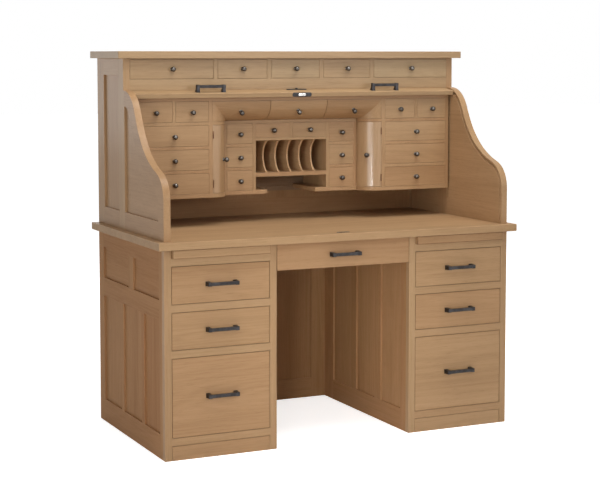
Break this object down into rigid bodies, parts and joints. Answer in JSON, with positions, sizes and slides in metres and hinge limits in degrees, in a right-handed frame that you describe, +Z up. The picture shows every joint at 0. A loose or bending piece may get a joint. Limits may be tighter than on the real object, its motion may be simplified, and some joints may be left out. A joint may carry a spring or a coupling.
{
  "type": "roll-top desk",
  "caption": "Wooden roll-top desk, shown open: S-curved sides, slatted curtain with a lift rail, pigeonholes with drawers and rounded doors, and drawer pedestals with writing slides.",
  "frame": {"origin": "on the floor under the middle of the desk's outline", "axes": "+X to the right seen from the front, +Y to the back, +Z up"},
  "size_m": [1.433, 0.75, 1.412],
  "materials": {
    "case_wood": "satin",
    "drawer_wood": "satin",
    "curtain_wood": "satin",
    "dark_metal": "satin"
  },
  "bodies": {
    "desk": {"left_pedestal_sides": "case_wood", "right_pedestal_sides": "case_wood", "left_pedestal_carcass": "case_wood", "right_pedestal_carcass": "case_wood", "kneehole_frame": "case_wood", "desk_top": "case_wood", "left_hutch_side": "case_wood", "right_hutch_side": "case_wood", "hutch_back": "case_wood", "top_case": "case_wood", "top_board": "case_wood", "pigeonhole_case": "case_wood", "letter_dividers": "case_wood"},
    "left_pedestal_drawer_1_body": {"left_pedestal_drawer_1": "drawer_wood"},
    "left_pedestal_drawer_2_body": {"left_pedestal_drawer_2": "drawer_wood"},
    "left_file_drawer_body": {"left_file_drawer": "drawer_wood"},
    "left_writing_slide_body": {"left_writing_slide": "drawer_wood"},
    "right_pedestal_drawer_1_body": {"right_pedestal_drawer_1": "drawer_wood"},
    "right_pedestal_drawer_2_body": {"right_pedestal_drawer_2": "drawer_wood"},
    "right_file_drawer_body": {"right_file_drawer": "drawer_wood"},
    "right_writing_slide_body": {"right_writing_slide": "drawer_wood"},
    "kneehole_drawer_body": {"kneehole_drawer": "drawer_wood"},
    "top_drawer_1_body": {"top_drawer_1": "drawer_wood"},
    "top_drawer_2_body": {"top_drawer_2": "drawer_wood"},
    "top_drawer_3_body": {"top_drawer_3": "drawer_wood"},
    "top_drawer_4_body": {"top_drawer_4": "drawer_wood"},
    "top_drawer_5_body": {"top_drawer_5": "drawer_wood"},
    "left_small_drawer_1_body": {"left_small_drawer_1": "drawer_wood"},
    "left_small_drawer_2_body": {"left_small_drawer_2": "drawer_wood"},
    "left_wide_drawer_1_body": {"left_wide_drawer_1": "drawer_wood"},
    "left_wide_drawer_2_body": {"left_wide_drawer_2": "drawer_wood"},
    "left_wide_drawer_3_body": {"left_wide_drawer_3": "drawer_wood"},
    "left_column_drawer_1_body": {"left_column_drawer_1": "drawer_wood"},
    "left_column_drawer_2_body": {"left_column_drawer_2": "drawer_wood"},
    "left_column_drawer_3_body": {"left_column_drawer_3": "drawer_wood"},
    "left_bay_drawer_body": {"left_bay_drawer": "drawer_wood"},
    "left_curved_drawer_body": {"left_curved_drawer": "drawer_wood"},
    "right_small_drawer_1_body": {"right_small_drawer_1": "drawer_wood"},
    "right_small_drawer_2_body": {"right_small_drawer_2": "drawer_wood"},
    "right_wide_drawer_1_body": {"right_wide_drawer_1": "drawer_wood"},
    "right_wide_drawer_2_body": {"right_wide_drawer_2": "drawer_wood"},
    "right_wide_drawer_3_body": {"right_wide_drawer_3": "drawer_wood"},
    "right_column_drawer_1_body": {"right_column_drawer_1": "drawer_wood"},
    "right_column_drawer_2_body": {"right_column_drawer_2": "drawer_wood"},
    "right_column_drawer_3_body": {"right_column_drawer_3": "drawer_wood"},
    "right_bay_drawer_body": {"right_bay_drawer": "drawer_wood"},
    "right_curved_drawer_body": {"right_curved_drawer": "drawer_wood"},
    "middle_curved_drawer_body": {"middle_curved_drawer": "drawer_wood"},
    "left_door_body": {"left_door": "drawer_wood"},
    "right_door_body": {"right_door": "drawer_wood"},
    "lift_rail_body": {"lift_rail": "curtain_wood"},
    "tambour_strip_1_body": {"tambour_strip_1": "curtain_wood"},
    "tambour_strip_2_body": {"tambour_strip_2": "curtain_wood"},
    "tambour_strip_3_body": {"tambour_strip_3": "curtain_wood"},
    "tambour_strip_4_body": {"tambour_strip_4": "curtain_wood"},
    "tambour_strip_5_body": {"tambour_strip_5": "curtain_wood"},
    "tambour_strip_6_body": {"tambour_strip_6": "curtain_wood"},
    "tambour_strip_7_body": {"tambour_strip_7": "curtain_wood"},
    "tambour_strip_8_body": {"tambour_strip_8": "curtain_wood"},
    "tambour_strip_9_body": {"tambour_strip_9": "curtain_wood"}
  },
  "joints": [
    {"name": "curtain_roll", "type": "hinge", "parent": "desk", "child": "lift_rail_body", "pos_m": [0, 0.11907, 0.80539], "axis": [-1, 0, 0], "range_deg": [-81, 0], "deforming": ["tambour_strip_1", "tambour_strip_2", "tambour_strip_3", "tambour_strip_4", "tambour_strip_5", "tambour_strip_6", "tambour_strip_7", "tambour_strip_8", "tambour_strip_9"]},
    {"name": "left_door_hinge", "type": "hinge", "parent": "desk", "child": "left_door_body", "pos_m": [-0.3523, 0.0308, 1.01812], "axis": [0, 0, -1], "range_deg": [0, 90]},
    {"name": "right_door_hinge", "type": "hinge", "parent": "desk", "child": "right_door_body", "pos_m": [0.3523, 0.0308, 1.01812], "axis": [0, 0, 1], "range_deg": [0, 90]},
    {"name": "tambour_strip_1_roll", "type": "hinge", "parent": "desk", "child": "tambour_strip_1_body", "pos_m": [0, 0.08413, 0.83903], "axis": [-1, 0, 0], "range_deg": [-90.12, 0.5]},
    {"name": "tambour_strip_2_roll", "type": "hinge", "parent": "desk", "child": "tambour_strip_2_body", "pos_m": [0, 0.21811, 0.65279], "axis": [-1, 0, 0], "range_deg": [-59.17, 0.5]},
    {"name": "tambour_strip_3_roll", "type": "hinge", "parent": "desk", "child": "tambour_strip_3_body", "pos_m": [0, 0.67547, -0.17317], "axis": [-1, 0, 0], "range_deg": [-23.21, 0.5]},
    {"name": "tambour_strip_4_roll", "type": "hinge", "parent": "desk", "child": "tambour_strip_4_body", "pos_m": [0, 0.37243, 0.45732], "axis": [-1, 0, 0], "range_deg": [-43.03, 0.5]},
    {"name": "tambour_strip_5_roll", "type": "hinge", "parent": "desk", "child": "tambour_strip_5_body", "pos_m": [0, 0.21996, 0.79174], "axis": [-1, 0, 0], "range_deg": [-75.9, 0.5]},
    {"name": "tambour_strip_6_roll", "type": "hinge", "parent": "desk", "child": "tambour_strip_6_body", "pos_m": [0, 0.15763, 0.94067], "axis": [-1, 0, 0], "range_deg": [-108.76, 0.5]},
    {"name": "tambour_strip_7_roll", "type": "hinge", "parent": "desk", "child": "tambour_strip_7_body", "pos_m": [0, 0.12649, 1.02348], "axis": [-1, 0, 0], "range_deg": [-136.95, 0.5]},
    {"name": "tambour_strip_8_roll", "type": "hinge", "parent": "desk", "child": "tambour_strip_8_body", "pos_m": [0, 0.12896, 1.04513], "axis": [-1, 0, 0], "range_deg": [-147.58, 0.5]},
    {"name": "tambour_strip_9_roll", "type": "hinge", "parent": "desk", "child": "tambour_strip_9_body", "pos_m": [0, 0.05986, 0.95613], "axis": [-1, 0, 0], "range_deg": [-102.88, 0.5]},
    {"name": "left_pedestal_drawer_1_slide", "type": "slide", "parent": "desk", "child": "left_pedestal_drawer_1_body", "axis": [0, -1, 0], "range_m": [0, 0.48]},
    {"name": "left_pedestal_drawer_2_slide", "type": "slide", "parent": "desk", "child": "left_pedestal_drawer_2_body", "axis": [0, -1, 0], "range_m": [0, 0.48]},
    {"name": "left_file_drawer_slide", "type": "slide", "parent": "desk", "child": "left_file_drawer_body", "axis": [0, -1, 0], "range_m": [0, 0.48]},
    {"name": "left_writing_slide_slide", "type": "slide", "parent": "desk", "child": "left_writing_slide_body", "axis": [0, -1, 0], "range_m": [0, 0.38]},
    {"name": "kneehole_drawer_slide", "type": "slide", "parent": "desk", "child": "kneehole_drawer_body", "axis": [0, -1, 0], "range_m": [0, 0.34]},
    {"name": "top_drawer_1_slide", "type": "slide", "parent": "desk", "child": "top_drawer_1_body", "axis": [0, -1, 0], "range_m": [0, 0.2]},
    {"name": "top_drawer_2_slide", "type": "slide", "parent": "desk", "child": "top_drawer_2_body", "axis": [0, -1, 0], "range_m": [0, 0.2]},
    {"name": "top_drawer_3_slide", "type": "slide", "parent": "desk", "child": "top_drawer_3_body", "axis": [0, -1, 0], "range_m": [0, 0.2]},
    {"name": "top_drawer_4_slide", "type": "slide", "parent": "desk", "child": "top_drawer_4_body", "axis": [0, -1, 0], "range_m": [0, 0.2]},
    {"name": "top_drawer_5_slide", "type": "slide", "parent": "desk", "child": "top_drawer_5_body", "axis": [0, -1, 0], "range_m": [0, 0.2]},
    {"name": "left_small_drawer_1_slide", "type": "slide", "parent": "desk", "child": "left_small_drawer_1_body", "axis": [0, -1, 0], "range_m": [0, 0.19]},
    {"name": "left_small_drawer_2_slide", "type": "slide", "parent": "desk", "child": "left_small_drawer_2_body", "axis": [0, -1, 0], "range_m": [0, 0.19]},
    {"name": "left_wide_drawer_1_slide", "type": "slide", "parent": "desk", "child": "left_wide_drawer_1_body", "axis": [0, -1, 0], "range_m": [0, 0.19]},
    {"name": "left_wide_drawer_2_slide", "type": "slide", "parent": "desk", "child": "left_wide_drawer_2_body", "axis": [0, -1, 0], "range_m": [0, 0.19]},
    {"name": "left_wide_drawer_3_slide", "type": "slide", "parent": "desk", "child": "left_wide_drawer_3_body", "axis": [0, -1, 0], "range_m": [0, 0.19]},
    {"name": "left_column_drawer_1_slide", "type": "slide", "parent": "desk", "child": "left_column_drawer_1_body", "axis": [0, -1, 0], "range_m": [0, 0.13]},
    {"name": "left_column_drawer_2_slide", "type": "slide", "parent": "desk", "child": "left_column_drawer_2_body", "axis": [0, -1, 0], "range_m": [0, 0.13]},
    {"name": "left_column_drawer_3_slide", "type": "slide", "parent": "desk", "child": "left_column_drawer_3_body", "axis": [0, -1, 0], "range_m": [0, 0.13]},
    {"name": "left_bay_drawer_slide", "type": "slide", "parent": "desk", "child": "left_bay_drawer_body", "axis": [0, -1, 0], "range_m": [0, 0.13]},
    {"name": "left_curved_drawer_slide", "type": "slide", "parent": "desk", "child": "left_curved_drawer_body", "axis": [0, -1, 0], "range_m": [0, 0.14]},
    {"name": "middle_curved_drawer_slide", "type": "slide", "parent": "desk", "child": "middle_curved_drawer_body", "axis": [0, -1, 0], "range_m": [0, 0.14]},
    {"name": "right_pedestal_drawer_1_slide", "type": "slide", "parent": "desk", "child": "right_pedestal_drawer_1_body", "axis": [0, -1, 0], "range_m": [0, 0.48]},
    {"name": "right_pedestal_drawer_2_slide", "type": "slide", "parent": "desk", "child": "right_pedestal_drawer_2_body", "axis": [0, -1, 0], "range_m": [0, 0.48]},
    {"name": "right_file_drawer_slide", "type": "slide", "parent": "desk", "child": "right_file_drawer_body", "axis": [0, -1, 0], "range_m": [0, 0.48]},
    {"name": "right_writing_slide_slide", "type": "slide", "parent": "desk", "child": "right_writing_slide_body", "axis": [0, -1, 0], "range_m": [0, 0.38]},
    {"name": "right_small_drawer_1_slide", "type": "slide", "parent": "desk", "child": "right_small_drawer_1_body", "axis": [0, -1, 0], "range_m": [0, 0.19]},
    {"name": "right_small_drawer_2_slide", "type": "slide", "parent": "desk", "child": "right_small_drawer_2_body", "axis": [0, -1, 0], "range_m": [0, 0.19]},
    {"name": "right_wide_drawer_1_slide", "type": "slide", "parent": "desk", "child": "right_wide_drawer_1_body", "axis": [0, -1, 0], "range_m": [0, 0.19]},
    {"name": "right_wide_drawer_2_slide", "type": "slide", "parent": "desk", "child": "right_wide_drawer_2_body", "axis": [0, -1, 0], "range_m": [0, 0.19]},
    {"name": "right_wide_drawer_3_slide", "type": "slide", "parent": "desk", "child": "right_wide_drawer_3_body", "axis": [0, -1, 0], "range_m": [0, 0.19]},
    {"name": "right_column_drawer_1_slide", "type": "slide", "parent": "desk", "child": "right_column_drawer_1_body", "axis": [0, -1, 0], "range_m": [0, 0.13]},
    {"name": "right_column_drawer_2_slide", "type": "slide", "parent": "desk", "child": "right_column_drawer_2_body", "axis": [0, -1, 0], "range_m": [0, 0.13]},
    {"name": "right_column_drawer_3_slide", "type": "slide", "parent": "desk", "child": "right_column_drawer_3_body", "axis": [0, -1, 0], "range_m": [0, 0.13]},
    {"name": "right_bay_drawer_slide", "type": "slide", "parent": "desk", "child": "right_bay_drawer_body", "axis": [0, -1, 0], "range_m": [0, 0.13]},
    {"name": "right_curved_drawer_slide", "type": "slide", "parent": "desk", "child": "right_curved_drawer_body", "axis": [0, -1, 0], "range_m": [0, 0.14]}
  ],
  "couplings": [
    {"joint": "tambour_strip_1_roll", "follows": "curtain_roll", "ratio": 1.1064},
    {"joint": "tambour_strip_2_roll", "follows": "curtain_roll", "ratio": 0.72427},
    {"joint": "tambour_strip_3_roll", "follows": "curtain_roll", "ratio": 0.28036},
    {"joint": "tambour_strip_4_roll", "follows": "curtain_roll", "ratio": 0.52512},
    {"joint": "tambour_strip_5_roll", "follows": "curtain_roll", "ratio": 0.93085},
    {"joint": "tambour_strip_6_roll", "follows": "curtain_roll", "ratio": 1.3366},
    {"joint": "tambour_strip_7_roll", "follows": "curtain_roll", "ratio": 1.6845},
    {"joint": "tambour_strip_8_roll", "follows": "curtain_roll", "ratio": 1.8158},
    {"joint": "tambour_strip_9_roll", "follows": "curtain_roll", "ratio": 1.264}
  ]
}
